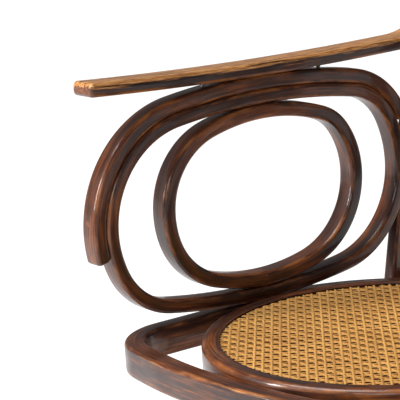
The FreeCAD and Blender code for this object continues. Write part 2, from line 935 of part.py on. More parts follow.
def leg_middle(along, forward, up):
    """Where along the side plane the leg's middle line is at a height."""
    centre = leg_centre(along, forward)
    angle = leg_angle(centre, dim("leg_radius"), up, forward)
    return centre.x + dim("leg_radius") * math.cos(angle)


def stretcher(name, along, forward):
    """Round bar between the two legs of a pair, with its ends in their bores."""
    up = -dim("stretcher_drop")
    place = leg_middle(along, forward, up)
    reach = dim("stretcher_tenon")
    left = side_place(LEFT, place, up, reach)
    right = side_place(RIGHT, place, up, reach)
    bar = cylinder(name, "stretcher_radius", (right - left).Length, left, Vector(1, 0, 0))
    document.recompute()
    return bar


# --------------------------------------------------------------------- fasteners by joint


def arm_screws(side):
    """Up through the large oval and the band into the arm rest."""
    screws = []
    middle = dim("stock_depth") / 2
    for number, along in enumerate((-45, 125)):
        offset = along - dim("large_along")
        radius = dim("large_long_radius")
        sag = radius - math.sqrt(radius ** 2 - offset ** 2)
        up = large_up() + dim("large_half_height") - sag
        start = side_place(side, along, up, middle)
        name = f"arm_screw_{SIDE_NAMES[side]}_{number}"
        screws.append(screw(name, start, Vector(0, 0, 1), 45))
    return screws


def oval_screws(side):
    """From inside the small oval into the large one, at the top and at the bottom."""
    screws = []
    for number, sense in enumerate((1, -1)):
        up = large_up() + sense * small_half_height()
        start = side_place(side, dim("small_along"), up, dim("stock_depth") / 2)
        name = f"oval_screw_{SIDE_NAMES[side]}_{number}"
        screws.append(screw(name, start, Vector(0, 0, sense), 28))
    return screws


def post_screw(side):
    """From inside the large oval's back end into the post."""
    along = dim("large_along") + dim("large_half_length")
    start = side_place(side, along, large_up(), dim("stock_depth") / 2)
    backward = side_place(side, along + 1, large_up(), dim("stock_depth") / 2) - start
    return screw(f"post_screw_{SIDE_NAMES[side]}", start, backward, 34)


def hoop_screws(side):
    """From under the hoop up into the foot of the large oval."""
    screws = []
    for number, offset in enumerate((-40, 16)):
        bottom = -dim("hoop_drop") - dim("hoop_height")
        start = side_place(side, dim("large_along") + offset, bottom, dim("stock_depth") / 2)
        name = f"hoop_screw_{SIDE_NAMES[side]}_{number}"
        screws.append(screw(name, start, Vector(0, 0, 1), 48))
    return screws


def band_joint(side):
    """Screw through the front of the band into the large oval, under a wooden plug."""
    path = [piece.moved_out(dim("large_thickness") + dim("band_thickness")) for piece in large_oval()]
    arc = path[3]
    angle = arc.start + 0.78 * (arc.end - arc.start)
    surface = arc.point(angle)
    start = side_place(side, dim("large_along") + surface.x, large_up() + surface.y, dim("stock_depth") / 2)
    along, up = side_axes(side)[:2]
    inward = (along * math.cos(angle) + up * math.sin(angle)) * -1
    name = SIDE_NAMES[side]
    joint = screw(f"band_screw_{name}", start, inward, 25, dim("plug_thickness"))
    return joint, plug(f"band_plug_{name}", start, inward)


def rest_screw(side):
    """Level screw through the arm rest's end and the post into the back's large oval."""
    arc = rest_path()[1]
    angle = arc.start + 0.8 * (arc.end - arc.start)
    reach = arc.radius - dim("rest_thickness") / 2
    along = arc.centre.x + reach * math.cos(angle)
    up = arc.centre.y + reach * math.sin(angle)
    outer_face = (dim("rest_width") + dim("stock_depth")) / 2
    start = side_place(side, along, up, outer_face)
    inward = start - side_place(side, along, up, outer_face + 1)
    return screw(f"rest_screw_{SIDE_NAMES[side]}", start, inward, 37)


def bow_top_joint():
    """Screw from the top of the bow into the large oval, and the plug over it."""
    start = back_place(0, dim("bow_top") + dim("stock_thickness"), -dim("stock_depth") / 2)
    down = back_axes()[1] * -1
    return screw("bow_screw", start, down, 21, dim("plug_thickness")), plug("bow_plug", start, down)


def back_oval_screws():
    """From inside the small oval of the back into the large one."""
    screws = []
    inside = dim("back_large_half_height") - dim("stock_thickness")
    up = back_axes()[1]
    for number, sense in enumerate((1, -1)):
        start = back_place(0, back_oval_up() + sense * inside, -dim("stock_depth") / 2)
        screws.append(screw(f"back_oval_screw_{number}", start, up * sense, 25))
    return screws


def seat_screws():
    """From inside the round frame outwards into the hoop, and at the back into the rail."""
    lengths = {"front": 55, "back": 75, "left": 62, "right": 62}
    screws = {}
    for name, outward in seat_directions().items():
        start = seat_place(0, 0, -24) + outward * dim("seat_opening_radius")
        screws[name] = screw(f"seat_screw_{name}", start, outward, lengths[name])
    return screws


def post_bolts():
    """Round-headed bolts through the posts into the ends of the back rail."""
    bolts = []
    reach = dim("bow_half_width") + dim("stock_thickness") + dim("bolt_head_height")
    middle = dim("rail_front") + 6
    up = -dim("rail_drop") - dim("rail_height") / 2
    for side in (LEFT, RIGHT):
        start = seat_place(side * reach, middle, up)
        bolts.append(screw(f"post_bolt_{SIDE_NAMES[side]}", start, Vector(-side, 0, 0), 48, kind="bolt"))
    return bolts


def runner_joints(side):
    """Screws from under the runner up into the feet of the legs, under plugs."""
    screws = []
    plugs = []
    centre = runner_centre()
    along_axis, up_axis = side_axes(side)[:2]
    for number, (along, forward) in enumerate((("front_leg_along", True), ("back_leg_along", False))):
        foot = leg_middle(dim(along), forward, 62 - dim("seat_height"))
        angle = -math.pi / 2 + math.asin((foot - centre.x) / dim("runner_radius"))
        surface = centre + Vector(math.cos(angle), math.sin(angle)) * dim("runner_radius")
        start = side_place(side, surface.x, surface.y, dim("stock_depth") / 2)
        inward = (along_axis * math.cos(angle) + up_axis * math.sin(angle)) * -1
        name = f"{SIDE_NAMES[side]}_{number}"
        screws.append(screw(f"runner_screw_{name}", start, inward, 62, dim("plug_thickness")))
        plugs.append(plug(f"runner_plug_{name}", start, inward))
    return screws, plugs


# -------------------------------------------------------------------------------- assembly


def build_seat(nodes, hoop_body, rail_body, bolts, arm_fixings, tenons):
    frame_body = seat_frame()
    screws = seat_screws()
    every_screw = list(screws.values())
    nodes.extend(cane_pieces())
    nodes.append(drill(rail_body, [hoop_body, screws["back"]] + bolts, "back_rail"))
    for name in ("left", "right"):
        spacer = hoop_spacer(name, frame_body, hoop_body)
        nodes.append(drill(spacer, [screws[name]], f"seat_spacer_{name}"))
    nodes.append(drill(frame_body, every_screw, "seat_frame"))
    nodes.append(drill(hoop_body, every_screw + arm_fixings + tenons, "seat_hoop"))
    nodes.append(group("seat_screws", every_screw))
    nodes.append(group("post_bolts", bolts))


def build_arm(side, nodes, fixings, bow_body):
    """The four bars of an arm; returns its screws and plugs for the shared nodes."""
    name = SIDE_NAMES[side]
    band_screw, band_plug = band_joint(side)
    end_screw = rest_screw(side)
    oval_to_post = post_screw(side)
    up_screws = arm_screws(side)
    small_screws = oval_screws(side)
    large_tools = up_screws + small_screws + fixings + [band_screw, oval_to_post, bow_body]
    band_body = arm_band(side)
    rest_body = cut(arm_rest(side), [band_body], f"arm_rest_{name}_housed")
    rest_tools = up_screws + [end_screw, bow_body, rest_notch(side)]
    nodes.append(drill(arm_large_oval(side), large_tools, f"arm_large_oval_{name}"))
    nodes.append(drill(arm_small_oval(side), small_screws, f"arm_small_oval_{name}"))
    nodes.append(drill(band_body, up_screws + [band_screw, band_plug], f"arm_band_{name}"))
    nodes.append(drill(rest_body, rest_tools, f"arm_rest_{name}"))
    return {
        "arm_screws": up_screws + small_screws + [band_screw],
        "post_screws": [end_screw, oval_to_post],
        "arm_plugs": [band_plug],
    }


def build_back(nodes, rail_body, bow_body, back_oval_body, bolts, post_screws):
    top_screw, top_plug = bow_top_joint()
    oval_fixings = back_oval_screws()
    bow_tools = [rail_body, top_screw, top_plug] + bolts + post_screws
    nodes.append(drill(bow_body, bow_tools, "back_bow"))
    nodes.append(drill(back_oval_body, [top_screw] + oval_fixings + post_screws, "back_large_oval"))
    nodes.append(drill(back_small_oval(), oval_fixings, "back_small_oval"))
    nodes.append(group("back_screws", [top_screw] + oval_fixings))
    top_plug.Label = "back_plug"
    nodes.append(top_plug)


def build_base(nodes, legs):
    front = stretcher("front_stretcher", dim("front_leg_along"), True)
    back = stretcher("back_stretcher", dim("back_leg_along"), False)
    screws = []
    plugs = []
    for side in (LEFT, RIGHT):
        name = SIDE_NAMES[side]
        side_screws, side_plugs = runner_joints(side)
        nodes.append(drill(runner(side), side_screws + side_plugs, f"runner_{name}"))
        nodes.append(drill(legs[side]["front"], [front, side_screws[0]], f"front_leg_{name}"))
        nodes.append(drill(legs[side]["back"], [back, side_screws[1]], f"back_leg_{name}"))
        screws += side_screws
        plugs += side_plugs
    front.Label = "front_stretcher"
    back.Label = "back_stretcher"
    nodes.extend([front, back])
    nodes.append(group("runner_screws", screws))
    nodes.append(group("runner_plugs", plugs))


def build_chair():
    nodes = []
    legs = {}
    tenons = []
    shared = {}
    hoop_body = seat_hoop()
    bow_body = back_bow()
    back_oval_body = back_large_oval()
    rail_body = back_rail()
    bolts = post_bolts()
    fixings = {side: hoop_screws(side) for side in (LEFT, RIGHT)}
    for side in (LEFT, RIGHT):
        front = leg(side, "front_leg", dim("front_leg_along"), True)
        back = leg(side, "back_leg", dim("back_leg_along"), False)
        legs[side] = {"front": front[0], "back": back[0]}
        tenons += [front[1], back[1]]
        arm_fixings = build_arm(side, nodes, fixings[side], bow_body)
        for label, pieces in arm_fixings.items():
            shared.setdefault(label, []).extend(pieces)
    all_fixings = fixings[LEFT] + fixings[RIGHT]
    build_seat(nodes, hoop_body, rail_body, bolts, all_fixings, tenons)
    nodes.append(group("hoop_screws", all_fixings))
    for label, pieces in shared.items():
        nodes.append(group(label, pieces))
    build_back(nodes, rail_body, bow_body, back_oval_body, bolts, shared["post_screws"])
    build_base(nodes, legs)
    return nodes


def check_document(nodes):
    """Stop before anything is written if any object failed or any shape is empty or bad."""
    for item in document.Objects:
        if "Invalid" in item.State or "Error" in item.State:
            raise RuntimeError(f"{item.Name} is in state {item.State}")
    for node in nodes:
        if node.Shape.isNull() or not node.Shape.isValid() or not node.Shape.Solids:
            raise RuntimeError(f"{node.Label} has no valid solid")


def write_parts(nodes):
    os.makedirs("parts", exist_ok=True)
    for node in nodes:
        node.Shape.exportStep(f"parts/{node.Label}.step")


chair = build_chair()
document.recompute()
check_document(chair)
write_parts(chair)
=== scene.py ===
import json
import math

import bpy
import numpy as np
from mathutils import Matrix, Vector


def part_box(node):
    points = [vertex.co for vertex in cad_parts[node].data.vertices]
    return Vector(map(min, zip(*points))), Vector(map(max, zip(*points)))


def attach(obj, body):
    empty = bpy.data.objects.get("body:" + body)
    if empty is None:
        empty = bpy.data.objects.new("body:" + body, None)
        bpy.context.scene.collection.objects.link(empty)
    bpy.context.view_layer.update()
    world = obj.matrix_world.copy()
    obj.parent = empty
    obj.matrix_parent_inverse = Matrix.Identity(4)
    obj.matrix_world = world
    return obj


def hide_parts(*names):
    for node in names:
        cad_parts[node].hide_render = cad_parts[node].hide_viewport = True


# Looks of the bentwood rocking armchair. Every bar is swept along the same tangent arcs as in
# the CAD, and keeps its own coordinates (along, across, deep) for the grain to follow the bend.
# Shapes are worked out in millimetres from the middle of the cane's top, then placed in metres.

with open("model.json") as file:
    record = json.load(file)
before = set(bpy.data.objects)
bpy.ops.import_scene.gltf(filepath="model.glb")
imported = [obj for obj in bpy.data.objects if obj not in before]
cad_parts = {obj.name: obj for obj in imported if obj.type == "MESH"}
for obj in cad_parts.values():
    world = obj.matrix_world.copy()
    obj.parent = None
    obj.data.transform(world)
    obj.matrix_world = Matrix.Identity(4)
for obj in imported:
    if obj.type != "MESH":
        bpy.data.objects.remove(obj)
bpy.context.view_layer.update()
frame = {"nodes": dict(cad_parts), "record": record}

LEFT = -1
RIGHT = 1
SIDE_NAMES = {LEFT: "left", RIGHT: "right"}

cane_low, cane_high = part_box("cane_panel")
hoop_low, hoop_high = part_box("seat_hoop")
SEAT = np.array([0.0, (cane_low[1] + cane_high[1]) * 500, cane_high[2] * 1000])
HOOP_TOP = hoop_high[2] * 1000 - SEAT[2]
HOOP_BOTTOM = hoop_low[2] * 1000 - SEAT[2]

SPLAY = math.radians(6.3)
TILT = math.radians(11.5)
SIDE_SPACING = 218.2
THICK = 17.5
DEEP = 26.0
ROUND = 4.5
LARGE_THICK = 16.5
BAND_THICK = 17.3
BACK_FRONT = 217.5
REST_THICK = 16.0
REST_WIDE = 38.0
RUNNER_RADIUS = 1050.0
RUNNER_THICK = 30.0


# ------------------------------------------------------------------ arcs and lines, in a plane


class Arc:
    def __init__(self, centre, radius, start, end):
        self.centre = np.array(centre, float)
        self.radius = radius
        self.start = start
        self.end = end

    def length(self):
        return abs(self.end - self.start) * self.radius

    def at(self, share):
        """Point and direction of walk at a share of the arc."""
        angle = self.start + share * (self.end - self.start)
        sense = 1 if self.end > self.start else -1
        spot = self.centre + self.radius * np.array([math.cos(angle), math.sin(angle)])
        return spot, sense * np.array([-math.sin(angle), math.cos(angle)])

    def grown(self, distance):
        return Arc(self.centre, self.radius + distance, self.start, self.end)


class Line:
    def __init__(self, start, end):
        self.start = np.array(start, float)
        self.end = np.array(end, float)

    def length(self):
        return float(np.linalg.norm(self.end - self.start))

    def at(self, share):
        run = (self.end - self.start) / self.length()
        return self.start + share * (self.end - self.start), run


def angle_to(centre, point, after=None):
    angle = math.atan2(point[1] - centre[1], point[0] - centre[0])
    while after is not None and angle < after:
        angle += 2 * math.pi
    return angle


def circle_touching(first, first_radius, second, second_radius, towards):
    apart = second - first
    span = np.linalg.norm(apart)
    along = apart / span
    reach = (first_radius ** 2 - second_radius ** 2 + span ** 2) / (2 * span)
    rise = math.sqrt(first_radius ** 2 - reach ** 2)
    across = np.array([-along[1], along[0]])
    if across @ towards < 0:
        across = -across
    return first + along * reach + across * rise


def oval(half_length, half_height, long_radius, end_radius, corners):
    """Eight tangent arcs; corners go back top, front top, front bottom, back bottom."""
    mains = (
        (np.array([half_length - end_radius, 0.0]), end_radius, 0.0),
        (np.array([0.0, half_height - long_radius]), long_radius, math.pi / 2),
        (np.array([end_radius - half_length, 0.0]), end_radius, math.pi),
        (np.array([0.0, long_radius - half_height]), long_radius, 1.5 * math.pi),
    )
    middles = []
    for index, radius in enumerate(corners):
        first, first_radius = mains[index][:2]
        second, second_radius = mains[(index + 1) % 4][:2]
        turn = math.pi / 4 + index * math.pi / 2
        towards = np.array([math.cos(turn), math.sin(turn)])
        middles.append(circle_touching(first, first_radius - radius, second, second_radius - radius, towards))
    path = []
    for index, (centre, radius, middle) in enumerate(mains):
        start = angle_to(centre, middles[index - 1], middle - math.pi / 2)
        end = angle_to(centre, middles[index], middle)
        path.append(Arc(centre, radius, start, end))
        corner_end = angle_to(mains[(index + 1) % 4][0], middles[index], end)
        path.append(Arc(middles[index], corners[index], end, corner_end))
    return path


def shifted(path, along, up):
    """The path moved in its plane."""
    offset = np.array([along, up])
    moved = []
    for piece in path:
        if isinstance(piece, Arc):
            moved.append(Arc(piece.centre + offset, piece.radius, piece.start, piece.end))
        else:
            moved.append(Line(piece.start + offset, piece.end + offset))
    return moved


def angle_at_height(arc, height):
    lift = (height - arc.centre[1]) / arc.radius
    if abs(lift) > 1:
        return None
    turn = math.asin(lift)
    for angle in (turn, math.pi - turn, 2 * math.pi + turn):
        if arc.start <= angle <= arc.end:
            return angle
    return None


# ------------------------------------------------------------------------ planes of the chair


def seat_plane(a, b, c):
    return np.stack([a, b, c], axis=-1) + SEAT


def side_plane(side):
    def place(along, up, out):
        across = SIDE_SPACING - along * math.sin(SPLAY) + out * math.cos(SPLAY)
        back = along * math.cos(SPLAY) + out * math.sin(SPLAY)
        return np.stack([side * across, back, up], axis=-1) + SEAT
    return place


def back_plane(across, up, forward):
    back = BACK_FRONT + up * math.sin(TILT) - forward * math.cos(TILT)
    rise = up * math.cos(TILT) + forward * math.sin(TILT)
    return np.stack([across, back, rise], axis=-1) + SEAT


# ------------------------------------------------------------------------------------ sweeps


def rounded_section(low, high, near, far, radius, steps=5):
    """Rounded rectangle: rows of across, deep and edge (1 in the middle of a corner)."""
    corners = (
        (high - radius, near + radius, -math.pi / 2),
        (high - radius, far - radius, 0.0),
        (low + radius, far - radius, math.pi / 2),
        (low + radius, near + radius, math.pi),
    )
    rows = []
    for across, deep, start in corners:
        for step in range(steps + 1):
            share = step / steps
            angle = start + share * math.pi / 2
            edge = math.sin(share * math.pi)
            rows.append((across + radius * math.cos(angle), deep + radius * math.sin(angle), edge))
    return np.array(rows)


def shrunk_section(section, inset):
    """The section pulled in towards its middle, for the rounded end of a bar."""
    middle = (section[:, :2].max(axis=0) + section[:, :2].min(axis=0)) / 2
    half = (section[:, :2].max(axis=0) - section[:, :2].min(axis=0)) / 2
    scale = np.maximum(half - inset, 0.01) / half
    pulled = section.copy()
    pulled[:, :2] = middle + (section[:, :2] - middle) * scale
    return pulled


def path_stations(path, spacing, closed):
    """Evenly spaced points, directions and distances along a path."""
    spots = []
    runs = []
    travelled = []
    gone = 0.0
    for number, piece in enumerate(path):
        count = max(2, int(math.ceil(piece.length() / spacing)))
        last = number == len(path) - 1
        for step in range(count + (1 if last and not closed else 0)):
            spot, run = piece.at(step / count)
            spots.append(spot)
            runs.append(run)
            travelled.append(gone + piece.length() * step / count)
        gone += piece.length()
    return np.array(spots), np.array(runs), np.array(travelled), gone


def sweep_grid(path, section, closed, end_round, spacing):
    """Rings of (plane a, plane b, deep), their distances along, and each point's section row."""
    spots, runs, travelled, total = path_stations(path, spacing, closed)
    sections = [section] * len(spots)
    if not closed:
        extra = 5
        keep = (travelled > end_round) & (travelled < total - end_round)
        spots, runs, travelled = spots[keep], runs[keep], travelled[keep]
        sections = [section] * len(spots)
        first_spot, first_run = path[0].at(0.0)
        last_spot, last_run = path[-1].at(1.0)
        for step in range(extra + 1):
            angle = step / extra * math.pi / 2
            back = end_round * (1 - math.sin(angle))
            inset = end_round * (1 - math.cos(angle))
            inset_section = shrunk_section(section, inset)
            spots = np.vstack([first_spot + first_run * back, spots, last_spot - last_run * back])
            runs = np.vstack([first_run, runs, last_run])
            travelled = np.concatenate([[back], travelled, [total - back]])
            sections = [inset_section] + sections + [inset_section]
    rings = []
    for spot, run, rows in zip(spots, runs, sections):
        side = np.array([run[1], -run[0]])
        flat = spot + rows[:, :1] * side
        rings.append(np.column_stack([flat, rows[:, 1]]))
    return np.array(rings), travelled, total, np.array(sections)


def wood_mesh(name, rings, travelled, total, sections, place, closed, seed, wear_and_highlight=None):
    """A mesh from rings of points, with the grain's coordinates on its corners."""
    count, width = rings.shape[:2]
    flat = rings.reshape(-1, 3)
    spots = place(flat[:, 0], flat[:, 1], flat[:, 2])
    faces = []
    grain = []
    last = count if closed else count - 1
    for ring in range(last):
        following = (ring + 1) % count
        here = travelled[ring]
        there = travelled[following] if following else total
        for row in range(width):
            beside = (row + 1) % width
            corners = ((ring, row, here), (following, row, there), (following, beside, there), (ring, beside, here))
            faces.append([a * width + b for a, b, _ in corners])
            for a, b, distance in corners:
                grain.append((distance / 1000 + seed, sections[a][b][0] / 1000, sections[a][b][1] / 1000))
    if not closed:
        for ring, order in ((0, range(width)), (count - 1, reversed(range(width)))):
            corners = [(ring, row) for row in order]
            faces.append([a * width + b for a, b in corners])
            for a, b in corners:
                shares = (travelled[a] / 1000 + seed, sections[a][b][0] / 1000, sections[a][b][1] / 1000)
                grain.append(shares)
    mesh = bpy.data.meshes.new(name)
    mesh.from_pydata((spots / 1000).tolist(), [], faces)
    mesh.polygons.foreach_set("use_smooth", np.ones(len(faces), bool))
    made = mesh.attributes.new("grain", "FLOAT_VECTOR", "CORNER")
    made.data.foreach_set("vector", np.array(grain, np.float32).ravel())
    edge = mesh.attributes.new("edge", "FLOAT", "POINT")
    edge.data.foreach_set("value", sections[:, :, 2].astype(np.float32).ravel())
    # Per-point amount of paler bare wood: real wear, and on the hoop and arm rests partly a painted highlight.
    worn_and_highlight = mesh.attributes.new("wear_and_highlight", "FLOAT", "POINT")
    amounts = np.zeros(len(flat)) if wear_and_highlight is None else wear_and_highlight(spots - SEAT, sections[:, :, :2].reshape(-1, 2))
    worn_and_highlight.data.foreach_set("value", amounts.astype(np.float32))
    mesh.update()
    import bmesh
    shape = bmesh.new()
    shape.from_mesh(mesh)
    bmesh.ops.recalc_face_normals(shape, faces=shape.faces)
    shape.to_mesh(mesh)
    shape.free()
    thing = bpy.data.objects.new(name, mesh)
    bpy.context.scene.collection.objects.link(thing)
    return thing


seeds = iter(np.arange(1, 60) * 3.71)


def bar(node, path, place, low, high, near, far, closed=True, radius=ROUND, end_round=4.5,
        spacing=4.0, wear_and_highlight=None, section=None, slot="bentwood"):
    """A bent bar that stands for a CAD node."""
    rows = rounded_section(low, high, near, far, radius) if section is None else section
    grid = sweep_grid(path, rows, closed, end_round, spacing)
    thing = wood_mesh("look_" + node, *grid, place, closed, next(seeds), wear_and_highlight)
    thing.data.materials.append(materials[slot])
    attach(thing, "root")
    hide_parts(node)
    return thing


# --------------------------------------------------------------------------------- materials


class Tree:
    """Short names for building a material's nodes."""

    def __init__(self, name):
        self.material = bpy.data.materials.new(name)
        self.material.use_nodes = True
        self.nodes = self.material.node_tree.nodes
        self.links = self.material.node_tree.links
        self.surface = self.nodes["Principled BSDF"]

    def add(self, kind, inputs=None, **settings):
        node = self.nodes.new(kind)
        for key, value in settings.items():
            setattr(node, key, value)
        for key, value in (inputs or {}).items():
            self.feed(node.inputs[key], value)
        return node

    def feed(self, socket, value):
        if isinstance(value, bpy.types.NodeSocket):
            self.links.new(value, socket)
        else:
            socket.default_value = value

    def noise(self, vector, stretch, detail=4.0, rough=0.55, distort=0.0):
        scaled = self.add("ShaderNodeVectorMath", {0: vector, 1: stretch}, operation="MULTIPLY")
        inputs = {"Vector": scaled.outputs[0], "Scale": 1.0, "Detail": detail, "Roughness": rough,
                  "Distortion": distort}
        return self.add("ShaderNodeTexNoise", inputs).outputs["Fac"]

    def math(self, operation, first, second=0.0, third=0.0, clamp=False):
        node = self.add("ShaderNodeMath", {0: first, 1: second, 2: third}, operation=operation)
        node.use_clamp = clamp
        return node.outputs[0]

    def step(self, value, low, high, out_low=0.0, out_high=1.0):
        inputs = {"Value": value, "From Min": low, "From Max": high, "To Min": out_low, "To Max": out_high}
        return self.add("ShaderNodeMapRange", inputs, interpolation_type="SMOOTHSTEP").outputs["Result"]

    def ramp(self, value, stops):
        node = self.add("ShaderNodeValToRGB", {"Fac": value})
        elements = node.color_ramp.elements
        while len(elements) < len(stops):
            elements.new(0.5)
        for element, (place, colour) in zip(elements, stops):
            element.position = place
            element.color = (*colour, 1)
        return node.outputs["Color"]

    def mix(self, share, first, second, blend="MIX"):
        node = self.add("ShaderNodeMix", data_type="RGBA", blend_type=blend)
        self.feed(node.inputs["Factor"], share)
        self.feed(node.inputs["A"], first)
        self.feed(node.inputs["B"], second)
        return node.outputs["Result"]

    def attribute(self, name, output):
        return self.add("ShaderNodeAttribute", attribute_name=name).outputs[output]

    def bump(self, height, strength, distance, normal=None):
        inputs = {"Height": height, "Strength": strength, "Distance": distance}
        if normal is not None:
            inputs["Normal"] = normal
        return self.add("ShaderNodeBump", inputs).outputs["Normal"]


def colour(*rgb):
    return (*rgb, 1.0)


def make_bentwood(name, coordinates, brightness=1.0):
    """Dark polished beech: streaks and pores along the bend, rubbed paler on its edges, and paler bare patches:
    real wear on the seat frame, partly painted highlight on the hoop's front rail and the arm rests' tops.
    """
    tree = Tree(name)
    if coordinates == "grain":
        spot = tree.attribute("grain", "Vector")
        edge = tree.attribute("edge", "Fac")
        wear_and_highlight = tree.attribute("wear_and_highlight", "Fac")
    else:
        spot = tree.add("ShaderNodeTexCoord").outputs["Object"]
        edge = None
        wear_and_highlight = None
    broad = tree.noise(spot, (7.0, 45.0, 45.0), 3.0, 0.5, 0.3)
    streak = tree.noise(spot, (16.0, 420.0, 420.0), 5.0, 0.6, 0.2)
    fine = tree.noise(spot, (60.0, 1500.0, 1500.0), 3.0, 0.6)
    pore = tree.noise(spot, (130.0, 2600.0, 2600.0), 2.0, 0.5)
    blotch = tree.noise(spot, (11.0, 18.0, 18.0), 4.0, 0.6, 0.6)
    tone = tree.math("MULTIPLY_ADD", streak, 0.5, tree.math("MULTIPLY", broad, 0.5))
    tone = tree.math("MULTIPLY_ADD", fine, 0.18, tree.math("MULTIPLY", tone, 0.86))
    base = tree.ramp(tone, (
        (0.38, (0.007 * brightness, 0.0026 * brightness, 0.0022 * brightness)),
        (0.48, (0.030 * brightness, 0.0080 * brightness, 0.0036 * brightness)),
        (0.56, (0.095 * brightness, 0.0240 * brightness, 0.0062 * brightness)),
        (0.68, (0.270 * brightness, 0.0820 * brightness, 0.0170 * brightness)),
    ))
    base = tree.mix(tree.step(blotch, 0.44, 0.64, 0.0, 0.55), base, colour(0.010, 0.0040, 0.0034))
    pores = tree.step(pore, 0.60, 0.70, 0.0, 0.7)
    base = tree.mix(pores, base, colour(0.012, 0.005, 0.004))
    if edge is not None:
        patch = tree.noise(spot, (22.0, 90.0, 90.0), 4.0, 0.65)
        rubbed = tree.math("MULTIPLY", edge, tree.step(patch, 0.44, 0.66, 0.0, 0.75))
        base = tree.mix(rubbed, base, colour(0.34, 0.115, 0.030))
        # Paler bare wood where each bar asks: real wear on the seat frame, partly painted highlight on the hoop's
        # front rail and the arm rests' tops.
        bare_and_highlight = tree.math("ADD", wear_and_highlight, tree.math("MULTIPLY_ADD", streak, 2.6, -1.55))
        bare_and_highlight = tree.math("MULTIPLY", tree.step(bare_and_highlight, 0.45, 0.95, 0.0, 0.9), tree.step(wear_and_highlight, 0.02, 0.25))
        worn_and_highlight = tree.mix(tree.step(fine, 0.40, 0.62), colour(0.30, 0.105, 0.024), colour(0.72, 0.36, 0.125))
        base = tree.mix(bare_and_highlight, base, worn_and_highlight)
    tree.feed(tree.surface.inputs["Base Color"], base)
    smear = tree.noise(spot, (30.0, 60.0, 60.0), 4.0, 0.6)
    tree.feed(tree.surface.inputs["Roughness"], tree.step(smear, 0.3, 0.7, 0.34, 0.52))
    tree.surface.inputs["Specular IOR Level"].default_value = 0.22
    tree.surface.inputs["Coat Weight"].default_value = 0.45
    tree.surface.inputs["Coat IOR"].default_value = 1.5
    tree.feed(tree.surface.inputs["Coat Roughness"], tree.step(smear, 0.3, 0.7, 0.07, 0.18))
    ripples = tree.noise(spot, (14.0, 60.0, 60.0), 2.0, 0.5)
    normal = tree.bump(ripples, 0.35, 0.0012)
    normal = tree.bump(tree.math("SUBTRACT", fine, pores), 0.35, 0.00012, normal)
    tree.feed(tree.surface.inputs["Normal"], normal)
    coat_normal = tree.bump(ripples, 0.30, 0.0012)
    tree.feed(tree.surface.inputs["Coat Normal"], coat_normal)
    return tree.material


def make_cane(name, spread=1.0):
    """Golden split cane: a hard shiny skin, uneven in colour, with small darker specks."""
    tree = Tree(name)
    spot = tree.add("ShaderNodeTexCoord").outputs["Object"]
    strand = tree.attribute("grain", "Vector")
    patch = tree.noise(spot, (9.0, 9.0, 9.0), 4.0, 0.6)
    streak = tree.noise(strand, (40.0, 2500.0, 900.0), 4.0, 0.6)
    speck = tree.noise(spot, (260.0, 260.0, 260.0), 3.0, 0.6)
    each = tree.noise(strand, (2.5, 0.0, 40.0), 1.0, 0.5)
    tone = tree.math("MULTIPLY_ADD", streak, 0.4, tree.math("MULTIPLY", patch, 0.3))
    tone = tree.math("MULTIPLY_ADD", each, 0.3, tone)
    base = tree.ramp(tone, (
        (0.34, (0.26, 0.110, 0.022)),
        (0.47, (0.50, 0.240, 0.055)),
        (0.58, (0.68, 0.360, 0.095)),
        (0.70, (0.80, 0.500, 0.170)),
    ))
    base = tree.mix(tree.step(speck, 0.56, 0.70, 0.0, 0.55), base, colour(0.20, 0.075, 0.018))
    tree.feed(tree.surface.inputs["Base Color"], base)
    tree.feed(tree.surface.inputs["Roughness"], tree.step(speck, 0.3, 0.7, 0.36, 0.58))
    tree.surface.inputs["Coat Weight"].default_value = 0.15
    tree.surface.inputs["Coat Roughness"].default_value = 0.25
    tree.feed(tree.surface.inputs["Normal"], tree.bump(streak, 0.4, 0.0002))
    return tree.material


def make_steel(name):
    tree = Tree(name)
    spot = tree.add("ShaderNodeTexCoord").outputs["Object"]
    stain = tree.noise(spot, (300.0, 300.0, 300.0), 4.0, 0.6)
    scratch = tree.noise(spot, (2000.0, 200.0, 2000.0), 3.0, 0.6)
    base = tree.ramp(stain, ((0.35, (0.10, 0.07, 0.05)), (0.5, (0.33, 0.30, 0.26)), (0.7, (0.50, 0.48, 0.44))))
    tree.feed(tree.surface.inputs["Base Color"], base)
    tree.feed(tree.surface.inputs["Roughness"], tree.step(scratch, 0.3, 0.7, 0.28, 0.55))
    tree.surface.inputs["Metallic"].default_value = 1.0
    tree.feed(tree.surface.inputs["Normal"], tree.bump(scratch, 0.2, 0.0001))
    return tree.material


def make_floor(name):
    tree = Tree(name)
    spot = tree.add("ShaderNodeTexCoord").outputs["Object"]
    cloud = tree.noise(spot, (3.0, 3.0, 3.0), 3.0, 0.5)
    base = tree.ramp(cloud, ((0.3, (0.92, 0.92, 0.92)), (0.7, (0.95, 0.95, 0.95))))
    tree.feed(tree.surface.inputs["Base Color"], base)
    tree.surface.inputs["Roughness"].default_value = 0.9
    tree.surface.inputs["Specular IOR Level"].default_value = 0.1
    return tree.material


materials = {
    "bentwood": make_bentwood("bentwood_polish", "grain"),
    "block_wood": make_bentwood("block_polish", "object", 0.8),
    "plug_wood": make_bentwood("plug_polish", "object", 1.9),
    "cane": make_cane("cane_skin"),
    "reed": make_bentwood("reed_stain", "grain", 0.8),
    "steel": make_steel("aged_steel"),
}


# ------------------------------------------------------------------------------------- seat


def mirrored(point):
    return np.array([-point[0], point[1]])


def hoop_corner(far_centre, far_radius, corner, towards, reach):
    outward = np.array([math.cos(SPLAY), math.sin(SPLAY)])
    run = np.array([-outward[1], outward[0]]) * towards
    base = outward * (reach - corner)
    gap = base - far_centre
    half = gap @ run
    return base + run * (-half + math.sqrt(half ** 2 - gap @ gap + (far_radius - corner) ** 2))


